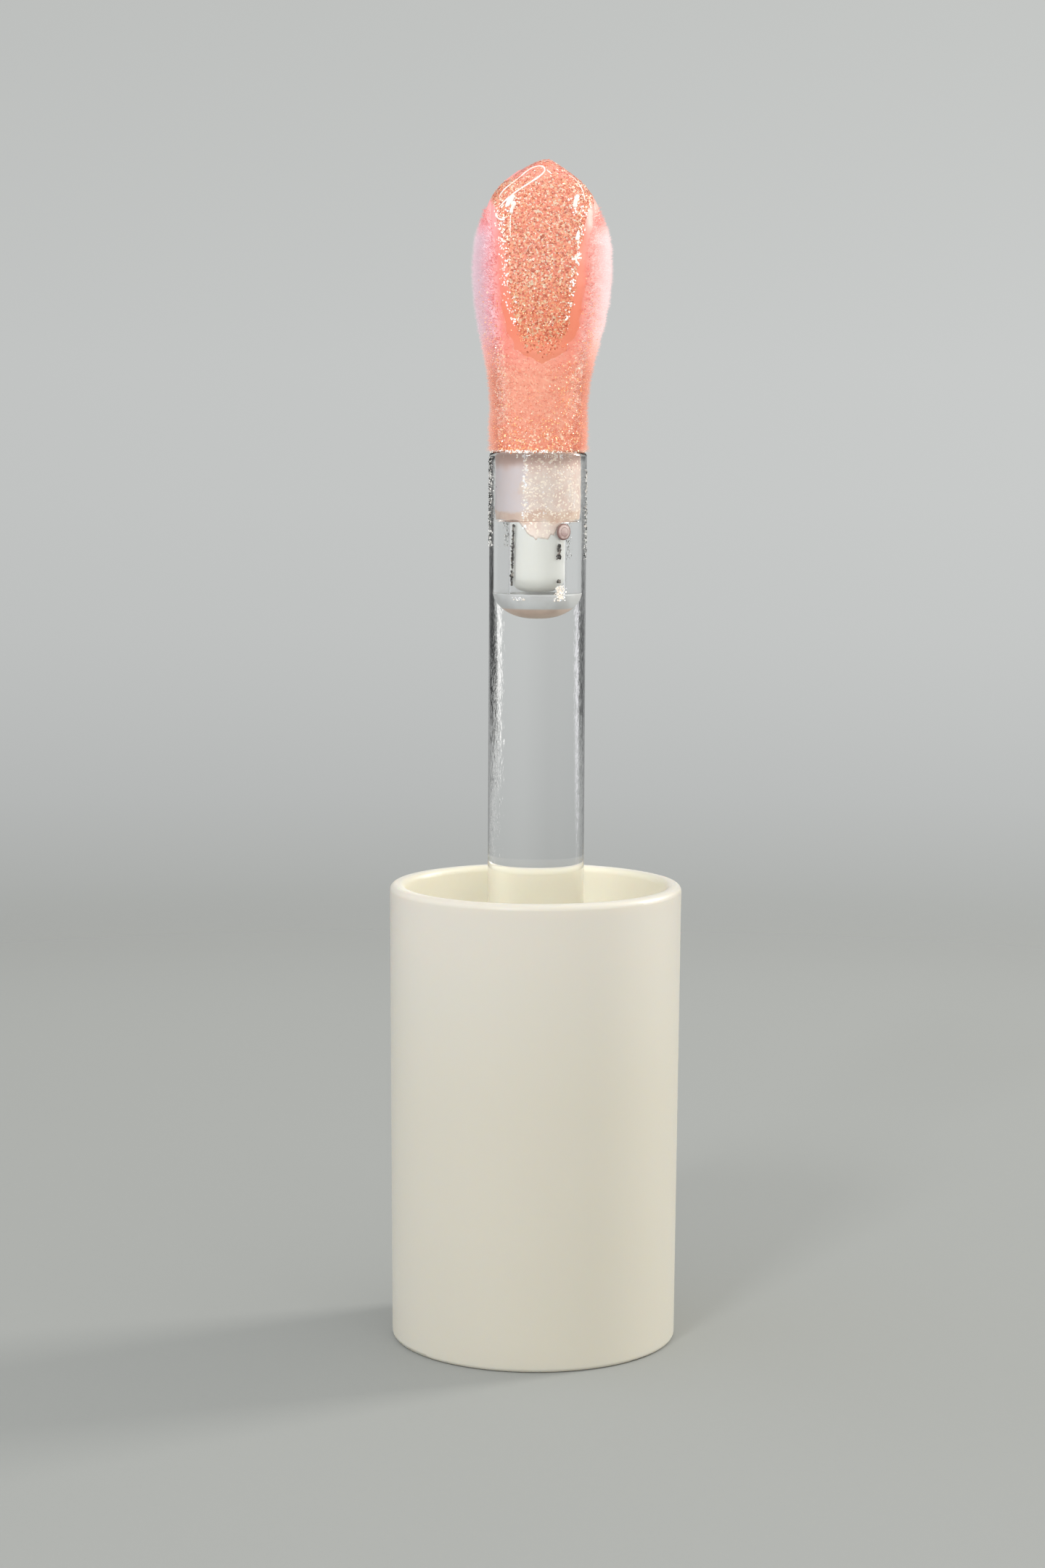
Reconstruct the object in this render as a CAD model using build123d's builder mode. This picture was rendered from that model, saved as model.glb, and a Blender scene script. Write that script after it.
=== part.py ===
"""Screw-on lip gloss cap with its clear wand and flocked applicator, standing on its closed end.

Millimetres, +Z up along the wand. The origin is the centre of the cap's closed end, where it rests.
The broad faces of the applicator paddle look along -Y and +Y.
"""

import os

from build123d import *

# Outer cap: a thin drafted shell, wider at its mouth, with a rounded lip.
CAP_HEIGHT = 31.6
CAP_MOUTH_R = 10.0
CAP_BASE_R = 9.8
CAP_INNER_R = 8.95
CAP_END_THICKNESS = 1.5
CAP_BASE_FILLET = 0.3
CAP_CORNER_FILLET = 0.6
LIP_FILLET = 0.42
SNAP_BEAD_R = 0.35
SNAP_BEAD_HEIGHT = 0.2

# Inner cap: an H-section insert, threaded above for the bottle's neck and socketed below for the wand.
INNER_RECESS = 5.0
INNER_TOP = CAP_HEIGHT - INNER_RECESS
INNER_BODY_R = 8.65
INNER_SKIRT_END = CAP_END_THICKNESS
SKIRT_CHAMFER = 0.4
FLANGE_THICKNESS = 0.8
THREAD_POCKET_DEPTH = 12.0
CEILING_TOP = INNER_TOP - THREAD_POCKET_DEPTH
CEILING_THICKNESS = 1.2
CEILING_BOTTOM = CEILING_TOP - CEILING_THICKNESS
SKIRT_INNER_R = 7.35
SOCKET_OUTER_R = 4.7
SOCKET_FLOOR = 6.2
SOCKET_FLOOR_THICKNESS = 1.0
GRIP_RIB_COUNT = 18
GRIP_RIB_WIDTH = 0.7
GRIP_RIB_DEPTH = CAP_INNER_R - INNER_BODY_R + 0.2
GRIP_RIB_START = INNER_SKIRT_END + CAP_CORNER_FILLET
GRIP_RIB_LENGTH = INNER_TOP - FLANGE_THICKNESS - GRIP_RIB_START
MOUTH_CHAMFER = 0.35

# Thread for a 15-415 bottle neck: 12 turns to the inch, 14.9 mm across its root and 13.4 across its crest.
THREAD_ROOT_R = 7.45
THREAD_CREST_R = 6.7
THREAD_PITCH = 25.4 / 12
THREAD_TURNS = 1.75
THREAD_BASE_WIDTH = 1.25
THREAD_CREST_WIDTH = 0.5
THREAD_BITE = 0.12
THREAD_START = INNER_TOP - 1.6 - THREAD_PITCH * THREAD_TURNS

# Sealing liner: a foam ring on the ceiling, pressed by the lip of the bottle's neck.
LINER_THICKNESS = 1.0
LINER_INNER_R = 3.5
LINER_OUTER_R = 7.3

# Wand: a solid clear rod with a blind bore in its free end.
WAND_R = 3.3
WAND_TOP = 61.05
WAND_EDGE_FILLET = 0.3
WAND_END_CHAMFER = 0.4
WAND_GROOVE_Z = SOCKET_FLOOR + 3.0
WAND_GROOVE_R = 0.32
SOCKET_BEAD_R = 0.25
BORE_R = 1.95
BORE_FLOOR = 49.87
BORE_FLOOR_FILLET = 1.6

# Applicator stem: a collar tight in the bore, then a thinner pin with a rounded end.
COLLAR_BOTTOM = 56.76
PIN_R = 1.84
PIN_END = 51.64
PIN_END_FILLET = 1.0

# Applicator head: elliptical sections at heights over the wand's end, out to the flock's surface.
# Each is (height, half width, half depth, set back); the set back leans the tip's front face away.
HEAD_SECTIONS = [
    (0.0, 3.08, 3.08, 0.0),
    (2.4, 3.22, 3.18, 0.0),
    (5.0, 3.45, 3.12, 0.0),
    (8.0, 4.1, 2.98, 0.0),
    (11.6, 4.6, 2.8, 0.0),
    (14.6, 4.4, 2.5, 0.05),
    (16.8, 3.62, 2.02, 0.2),
    (18.2, 2.5, 1.42, 0.4),
    (18.95, 1.4, 0.82, 0.52),
    (19.3, 0.45, 0.3, 0.6),
]
HEAD_LENGTH = HEAD_SECTIONS[-1][0]
HEAD_HALF_WIDTH = 4.6
HEAD_HALF_DEPTH = 2.8
FLOCK_THICKNESS = 0.45
GLOSS_THICKNESS = 0.3
GLOSS_TIP_THICKNESS = 0.22
FLEX_HEIGHT = 5.0
FLEX_Z = WAND_TOP + FLEX_HEIGHT

# Gloss film: an oval patch on both broad faces, joined over the tip.
GLOSS_HALF_WIDTH = 3.75
GLOSS_HALF_LENGTH = 7.4
GLOSS_CENTRE_HEIGHT = 13.2


def head_form(growth, tip_growth):
    """The head's lofted form at its flock's surface, grown all round by one amount and at its tip by another."""
    wider = 1 + growth / HEAD_HALF_WIDTH
    deeper = 1 + growth / HEAD_HALF_DEPTH
    longer = 1 + tip_growth / HEAD_LENGTH
    with BuildPart() as form:
        for height, half_width, half_depth, set_back in HEAD_SECTIONS:
            with BuildSketch(Plane.XY.offset(WAND_TOP + height * longer)):
                with Locations((0, set_back * deeper)):
                    Ellipse(half_width * wider, half_depth * deeper)
        loft()
    return form.part


def write(builder, name):
    """Labels a finished piece and writes it as its own STEP file."""
    builder.part.label = name
    export_step(builder.part, f"parts/{name}.step")


with BuildPart() as outer_cap:
    with BuildSketch(Plane.XZ):
        with BuildLine():
            Polyline(
                (0, 0),
                (CAP_BASE_R, 0),
                (CAP_MOUTH_R, CAP_HEIGHT),
                (CAP_INNER_R, CAP_HEIGHT),
                (CAP_INNER_R, CAP_END_THICKNESS),
                (0, CAP_END_THICKNESS),
                close=True,
            )
        make_face()
    revolve(axis=Axis.Z)
    circles = outer_cap.edges().filter_by(GeomType.CIRCLE)
    fillet(circles.group_by(Axis.Z)[-1], radius=LIP_FILLET)
    fillet(circles.group_by(Axis.Z)[0], radius=CAP_BASE_FILLET)
    fillet(circles.group_by(Axis.Z)[1], radius=CAP_CORNER_FILLET)
    # The snap bead stands just above the inner cap's flange and keeps it in.
    bead_centre_r = CAP_INNER_R + SNAP_BEAD_R - SNAP_BEAD_HEIGHT
    with BuildSketch(Plane.XZ):
        with Locations((bead_centre_r, INNER_TOP + SNAP_BEAD_R)):
            Circle(SNAP_BEAD_R)
    revolve(axis=Axis.Z)

with BuildPart() as inner_cap:
    with BuildSketch(Plane.XZ):
        with BuildLine():
            Polyline(
                (0, SOCKET_FLOOR - SOCKET_FLOOR_THICKNESS),
                (SOCKET_OUTER_R, SOCKET_FLOOR - SOCKET_FLOOR_THICKNESS),
                (SOCKET_OUTER_R, CEILING_BOTTOM),
                (SKIRT_INNER_R, CEILING_BOTTOM),
                (SKIRT_INNER_R, INNER_SKIRT_END),
                (INNER_BODY_R - SKIRT_CHAMFER, INNER_SKIRT_END),
                (INNER_BODY_R, INNER_SKIRT_END + SKIRT_CHAMFER),
                (INNER_BODY_R, INNER_TOP - FLANGE_THICKNESS),
                (CAP_INNER_R, INNER_TOP - FLANGE_THICKNESS),
                (CAP_INNER_R, INNER_TOP),
                (THREAD_ROOT_R + MOUTH_CHAMFER, INNER_TOP),
                (THREAD_ROOT_R, INNER_TOP - MOUTH_CHAMFER),
                (THREAD_ROOT_R, CEILING_TOP),
                (WAND_R, CEILING_TOP),
                (WAND_R, SOCKET_FLOOR),
                (0, SOCKET_FLOOR),
                close=True,
            )
        make_face()
    revolve(axis=Axis.Z)
    # A bead in the socket snaps into the wand's groove.
    with BuildSketch(Plane.XZ):
        with Locations((WAND_R, WAND_GROOVE_Z)):
            Circle(SOCKET_BEAD_R)
    revolve(axis=Axis.Z)
    # Upright crush ribs grip the outer cap's wall.
    with BuildSketch(Plane.XY.offset(GRIP_RIB_START)):
        with PolarLocations(CAP_INNER_R - GRIP_RIB_DEPTH / 2, GRIP_RIB_COUNT):
            Rectangle(GRIP_RIB_DEPTH, GRIP_RIB_WIDTH)
        Circle(CAP_INNER_R, mode=Mode.INTERSECT)
    extrude(amount=GRIP_RIB_LENGTH)
    # The thread is one helical rib, fused to the pocket's wall.
    with BuildLine() as thread_path:
        Helix(
            pitch=THREAD_PITCH,
            height=THREAD_PITCH * THREAD_TURNS,
            radius=THREAD_ROOT_R,
            center=(0, 0, THREAD_START),
        )
    with BuildSketch(Plane.XZ):
        with BuildLine():
            Polyline(
                (THREAD_ROOT_R + THREAD_BITE, THREAD_START - THREAD_BASE_WIDTH / 2),
                (THREAD_ROOT_R + THREAD_BITE, THREAD_START + THREAD_BASE_WIDTH / 2),
                (THREAD_CREST_R, THREAD_START + THREAD_CREST_WIDTH / 2),
                (THREAD_CREST_R, THREAD_START - THREAD_CREST_WIDTH / 2),
                close=True,
            )
        make_face()
    sweep(path=thread_path.line, is_frenet=True)

with BuildPart() as seal_liner:
    with BuildSketch(Plane.XY.offset(CEILING_TOP)):
        Circle(LINER_OUTER_R)
        Circle(LINER_INNER_R, mode=Mode.SUBTRACT)
    extrude(amount=LINER_THICKNESS)

with BuildPart() as wand:
    with BuildSketch(Plane.XZ):
        with BuildLine():
            Polyline(
                (0, SOCKET_FLOOR),
                (WAND_R - WAND_END_CHAMFER, SOCKET_FLOOR),
                (WAND_R, SOCKET_FLOOR + WAND_END_CHAMFER),
                (WAND_R, WAND_TOP),
                (BORE_R, WAND_TOP),
                (BORE_R, BORE_FLOOR),
                (0, BORE_FLOOR),
                close=True,
            )
        make_face()
    revolve(axis=Axis.Z)
    rims = wand.edges().filter_by(GeomType.CIRCLE)
    fillet(rims.group_by(Axis.Z)[-1].sort_by(SortBy.RADIUS)[-1], radius=WAND_EDGE_FILLET)
    fillet(rims.group_by(Axis.Z)[-2], radius=BORE_FLOOR_FILLET)
    with BuildSketch(Plane.XZ):
        with Locations((WAND_R, WAND_GROOVE_Z)):
            Circle(WAND_GROOVE_R)
    revolve(axis=Axis.Z, mode=Mode.SUBTRACT)

with BuildPart() as applicator_stem:
    with BuildSketch(Plane.XZ):
        with BuildLine():
            Polyline(
                (0, PIN_END),
                (PIN_R, PIN_END),
                (PIN_R, COLLAR_BOTTOM),
                (BORE_R, COLLAR_BOTTOM),
                (BORE_R, WAND_TOP),
                (0, WAND_TOP),
                close=True,
            )
        make_face()
    revolve(axis=Axis.Z)
    fillet(
        applicator_stem.edges().filter_by(GeomType.CIRCLE).group_by(Axis.Z)[0],
        radius=PIN_END_FILLET,
    )

# The head is one moulding. It is cut at the flex line, so that the paddle can bend on the neck.
core_form = head_form(-FLOCK_THICKNESS, -FLOCK_THICKNESS)
flock_form = head_form(0, 0)
gloss_form = head_form(GLOSS_THICKNESS, GLOSS_TIP_THICKNESS)
flex_line = Plane.XY.offset(FLEX_Z)

with BuildPart() as flex_neck:
    add(core_form)
    split(bisect_by=flex_line, keep=Keep.BOTTOM)

with BuildPart() as neck_flock:
    add(flock_form)
    add(core_form, mode=Mode.SUBTRACT)
    split(bisect_by=flex_line, keep=Keep.BOTTOM)

with BuildPart() as paddle_core:
    add(core_form)
    split(bisect_by=flex_line, keep=Keep.TOP)

with BuildPart() as paddle_flock:
    add(flock_form)
    add(core_form, mode=Mode.SUBTRACT)
    split(bisect_by=flex_line, keep=Keep.TOP)

with BuildPart() as gloss_film:
    with BuildSketch(Plane.XZ):
        with Locations((0, WAND_TOP + GLOSS_CENTRE_HEIGHT)):
            Ellipse(GLOSS_HALF_WIDTH, GLOSS_HALF_LENGTH)
    extrude(amount=CAP_MOUTH_R, both=True)
    add(gloss_form, mode=Mode.INTERSECT)
    add(flock_form, mode=Mode.SUBTRACT)

os.makedirs("parts", exist_ok=True)
write(outer_cap, "outer_cap")
write(inner_cap, "inner_cap")
write(seal_liner, "seal_liner")
write(wand, "wand")
write(applicator_stem, "applicator_stem")
write(flex_neck, "flex_neck")
write(neck_flock, "neck_flock")
write(paddle_core, "paddle_core")
write(paddle_flock, "paddle_flock")
write(gloss_film, "gloss_film")
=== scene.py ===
"""Studio scene of a lip gloss cap with its clear wand and flocked applicator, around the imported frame."""

import math

import bmesh
import bpy
import numpy as np
from mathutils import Matrix, Vector, bvhtree, noise


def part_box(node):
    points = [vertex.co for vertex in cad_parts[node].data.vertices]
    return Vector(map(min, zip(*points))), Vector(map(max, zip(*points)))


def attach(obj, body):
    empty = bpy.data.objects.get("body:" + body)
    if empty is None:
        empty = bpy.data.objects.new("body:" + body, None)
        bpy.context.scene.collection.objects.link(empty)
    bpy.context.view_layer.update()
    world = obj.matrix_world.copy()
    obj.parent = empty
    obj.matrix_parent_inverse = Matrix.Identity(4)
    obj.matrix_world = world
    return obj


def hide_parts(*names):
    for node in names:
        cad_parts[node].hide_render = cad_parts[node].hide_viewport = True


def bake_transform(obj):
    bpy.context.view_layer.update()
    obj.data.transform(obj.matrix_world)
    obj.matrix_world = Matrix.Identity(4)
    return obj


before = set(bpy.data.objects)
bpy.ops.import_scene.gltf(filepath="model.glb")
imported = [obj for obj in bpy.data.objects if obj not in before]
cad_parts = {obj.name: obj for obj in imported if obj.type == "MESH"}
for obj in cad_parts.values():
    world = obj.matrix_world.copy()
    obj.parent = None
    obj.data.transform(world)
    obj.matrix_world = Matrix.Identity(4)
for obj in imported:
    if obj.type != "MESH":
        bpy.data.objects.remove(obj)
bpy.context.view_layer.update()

MM = 0.001
SEED = 41


# ---- sizes, in millimetres, from the frame

def low(node):
    """The lowest x, y and z of a CAD node, in millimetres."""
    return np.array(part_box(node)[0]) / MM


def high(node):
    """The highest x, y and z of a CAD node, in millimetres."""
    return np.array(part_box(node)[1]) / MM


WAND_R = high("wand")[0]
WAND_BOTTOM = low("wand")[2]
WAND_TOP = high("wand")[2]
BORE_R = high("applicator_stem")[0]
wand_points = np.array([v.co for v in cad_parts["wand"].data.vertices]) / MM
BORE_FLOOR = wand_points[np.hypot(wand_points[:, 0], wand_points[:, 1]) < 0.9 * BORE_R][:, 2].min()
PIN_END = low("applicator_stem")[2]
FLEX_Z = low("paddle_flock")[2]
HEAD_TOP = high("paddle_flock")[2]


# ---- mesh helpers

def linked(name, data):
    """A new object in the scene."""
    made = bpy.data.objects.new(name, data)
    bpy.context.scene.collection.objects.link(made)
    return made


def mesh_object(name, vertices, faces, smooth=True):
    """A mesh object from vertices in millimetres."""
    mesh = bpy.data.meshes.new(name)
    mesh.from_pydata((np.asarray(vertices) * MM).tolist(), [], [tuple(int(i) for i in f) for f in faces])
    mesh.validate()
    if smooth:
        mesh.shade_smooth()
    return linked(name, mesh)


def arc(centre, radius, start, end, steps):
    """Points (r, z) along an arc, its angles in degrees from the outward direction."""
    angles = np.radians(np.linspace(start, end, steps + 1))
    return [(centre[0] + radius * math.cos(a), centre[1] + radius * math.sin(a)) for a in angles]


def joined(rings, closed=False):
    """Faces that join each ring of vertex numbers to the next. A ring of one number is a point."""
    faces = []
    for lower, upper in zip(rings, rings[1:] + rings[:1] * closed):
        count = max(len(lower), len(upper))
        for k in range(count):
            following = (k + 1) % count
            corners = [lower[k % len(lower)], lower[following % len(lower)]]
            corners += [upper[following % len(upper)], upper[k % len(upper)]]
            faces.append(list(dict.fromkeys(corners)))
    return faces


def lathe(name, profile, segments):
    """A closed solid of revolution. The profile runs from the axis back to the axis, or closes on itself."""
    vertices, rings = [], []
    for r, z in profile:
        if r == 0:
            rings.append([len(vertices)])
            vertices.append((0, 0, z))
            continue
        rings.append(list(range(len(vertices), len(vertices) + segments)))
        for k in range(segments):
            turn = 2 * math.pi * k / segments
            vertices.append((r * math.sin(turn), -r * math.cos(turn), z))
    piece = mesh_object(name, vertices, joined(rings, closed=profile[0][0] != 0))
    face_outwards(piece)
    return piece


def face_outwards(piece):
    """Turns every face's normal outwards."""
    shape = bmesh.new()
    shape.from_mesh(piece.data)
    bmesh.ops.recalc_face_normals(shape, faces=shape.faces)
    shape.to_mesh(piece.data)
    shape.free()


def points_of(piece):
    """Vertex positions in millimetres and their normals."""
    count = len(piece.data.vertices)
    points = np.empty(count * 3, np.float32)
    piece.data.vertices.foreach_get("co", points)
    normals = np.empty(count * 3, np.float32)
    piece.data.vertex_normals.foreach_get("vector", normals)
    return points.reshape(-1, 3).astype(float) / MM, normals.reshape(-1, 3).astype(float)


def move_points(piece, points):
    """Puts the piece's vertices at these points, in millimetres."""
    piece.data.vertices.foreach_set("co", (np.asarray(points) * MM).astype(np.float32).ravel())
    piece.data.update()


def store(piece, name, values):
    """A float attribute on the piece's vertices, for its material to read."""
    attribute = piece.data.attributes.new(name, "FLOAT", "POINT")
    attribute.data.foreach_set("value", np.asarray(values, np.float32))


def unit(vectors):
    """The same vectors, each one unit long."""
    return vectors / np.linalg.norm(vectors, axis=1)[:, None]


def smoothstep(low_edge, high_edge, value):
    """A smooth ramp from 0 at the low edge to 1 at the high edge."""
    t = np.clip((value - low_edge) / (high_edge - low_edge), 0, 1)
    return t * t * (3 - 2 * t)


def noise_at(points, scale, offset=0.0):
    """Perlin noise between about -1 and 1 at each point, with its grain scale in millimetres."""
    return np.array([noise.noise(Vector((p / scale + offset).tolist())) for p in points])


# ---- camera

CAMERA_PLACE = Vector((0.0, -0.212, 0.06313))
CAMERA_AIM = Vector((-0.00094, 0.0, 0.03844))
CAMERA_ROLL = math.radians(0.304)

camera_data = bpy.data.cameras.new("camera")
camera_data.lens = 71.65
camera_data.sensor_width = 36
camera_data.clip_start = 0.01
camera_data.clip_end = 10
camera = linked("camera", camera_data)
camera.location = CAMERA_PLACE
camera.rotation_mode = "QUATERNION"
aim = (CAMERA_AIM - CAMERA_PLACE).to_track_quat("-Z", "Y").to_matrix()
camera.rotation_quaternion = (aim @ Matrix.Rotation(CAMERA_ROLL, 3, "Z")).to_quaternion()
bpy.context.scene.camera = camera
bpy.context.scene.view_settings.view_transform = "Standard"


# ---- shader helpers

def srgb(red, green, blue):
    """A colour given as 0 to 255 on screen, as the linear colour that Blender works in."""
    def linear(c):
        c = c / 255
        return c / 12.92 if c <= 0.04045 else ((c + 0.055) / 1.055) ** 2.4
    return (linear(red), linear(green), linear(blue), 1.0)


class Nodes:
    """Short names for building one node tree."""

    def __init__(self, tree):
        self.tree = tree
        tree.nodes.clear()

    def add(self, kind, inputs=None, **settings):
        """A node, with its settings and with what goes in each of its sockets."""
        node = self.tree.nodes.new(kind)
        for name, value in settings.items():
            setattr(node, name, value)
        for name, value in (inputs or {}).items():
            self.feed(node.inputs[name], value)
        return node

    def feed(self, socket, value):
        if isinstance(value, bpy.types.NodeSocket):
            self.tree.links.new(value, socket)
        else:
            socket.default_value = value

    def math(self, operation, a, b=0.0):
        return self.add("ShaderNodeMath", {0: a, 1: b}, operation=operation).outputs[0]

    def times(self, a, b):
        return self.math("MULTIPLY", a, b)

    def plus(self, a, b):
        return self.math("ADD", a, b)

    def minus(self, a, b):
        return self.math("SUBTRACT", a, b)

    def step(self, value, start, end, to_low=0.0, to_high=1.0):
        """A smooth ramp from to_low to to_high as value goes from start to end."""
        sockets = {0: value, 1: start, 2: end, 3: to_low, 4: to_high}
        return self.add("ShaderNodeMapRange", sockets, interpolation_type="SMOOTHSTEP").outputs[0]

    def window(self, value, start, end, soft):
        """1 between start and end, and 0 outside them."""
        rise = self.step(value, start - soft, start + soft)
        return self.times(rise, self.step(value, end - soft, end + soft, 1.0, 0.0))

    def ramp(self, value, *stops):
        """A colour from stops, each a position and a colour as srgb takes it."""
        node = self.add("ShaderNodeValToRGB", {"Fac": value})
        elements = node.color_ramp.elements
        while len(elements) < len(stops):
            elements.new(0.5)
        for element, (position, *colour) in zip(elements, stops):
            element.position = position
            element.color = srgb(*colour)
        return node.outputs["Color"]

    def mix(self, factor, a, b, blend="MIX"):
        """The colour a where the factor is 0, and b where it is 1."""
        node = self.add("ShaderNodeMix", {0: factor, 6: a, 7: b}, data_type="RGBA", blend_type=blend)
        return node.outputs[2]

    def vector(self, operation, a, b=(0.0, 0.0, 0.0)):
        """A vector operation on a and b. To scale a vector, b is a number, and it has a socket of its own."""
        second = 3 if operation == "SCALE" else 1
        return self.add("ShaderNodeVectorMath", {0: a, second: b}, operation=operation).outputs[0]

    def place(self):
        """The point on the piece, in its object's own space."""
        return self.add("ShaderNodeTexCoord").outputs["Object"]

    def axes(self):
        """The point's x, y and z, in metres."""
        return self.add("ShaderNodeSeparateXYZ", {0: self.place()}).outputs

    def noise(self, scale, detail=2.0, roughness=0.5, vector=None):
        sockets = {"Vector": vector or self.place(), "Scale": scale, "Detail": detail, "Roughness": roughness}
        return self.add("ShaderNodeTexNoise", sockets).outputs["Fac"]

    def cells(self, scale):
        """A colour that is random from cell to cell, and its three channels."""
        colour = self.add("ShaderNodeTexVoronoi", {"Vector": self.place(), "Scale": scale}).outputs["Color"]
        return colour, *self.add("ShaderNodeSeparateColor", {0: colour}).outputs

    def bump(self, height, distance, strength):
        sockets = {"Height": height, "Distance": distance, "Strength": strength}
        return self.add("ShaderNodeBump", sockets).outputs["Normal"]

    def clouds(self, pattern, start, end, one, other):
        """One srgb colour where a pattern is below start, and the other where it is above end."""
        return self.mix(self.step(pattern, start, end), srgb(*one), srgb(*other))

    def attribute(self, name):
        return self.add("ShaderNodeAttribute", attribute_name=name).outputs["Fac"]

    def principled(self, colour, roughness, sockets):
        return self.add("ShaderNodeBsdfPrincipled", {"Base Color": colour, "Roughness": roughness, **sockets})

    def shade(self, shader, other=None, factor=0.0):
        """Ends the material with one shader, or with a mix of two."""
        if other is not None:
            shader = self.add("ShaderNodeMixShader", {0: factor, 1: shader.outputs[0], 2: other.outputs[0]})
        self.add("ShaderNodeOutputMaterial", {"Surface": shader.outputs[0]})


def material(name):
    """A new material and its node helper."""
    made = bpy.data.materials.new(name)
    made.use_nodes = True
    return made, Nodes(made.node_tree)


def finish_with(piece, made, slot):
    """Gives a piece its one material. The slot is not used."""
    piece.data.materials.clear()
    piece.data.materials.append(made)
    return piece


# ---- world, lights and floor

# The backdrop from below upwards: elevation in degrees, and colour.
BACKDROP_BOTTOM, BACKDROP_TOP = -14.0, 10.0
BACKDROP = [
    (-12.5, 178, 180, 177),
    (-11.1, 175, 177, 175),
    (-9.6, 171, 173, 170),
    (-8.2, 177, 179, 177),
    (-6.8, 185, 187, 186),
    (-5.4, 190, 192, 191),
    (-3.9, 194, 196, 195),
    (-1.5, 197, 199, 198),
    (1.0, 198, 200, 199),
    (8.0, 193, 195, 193),
]
FLOOR_COLOUR = srgb(156, 158, 155)
FLOOR_R = 240.0
FLOOR_FADE_START = 105.0

# Upright walls and strips beside the backdrop, from one azimuth to another in degrees.
STRIP_RIGHT = (37.5, 44.8)
STRIP_LEFT = (-48.5, -42.5)
DARK_RIGHT = (44.0, 73.0)
DARK_LEFT = (-73.0, -49.0)


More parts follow.
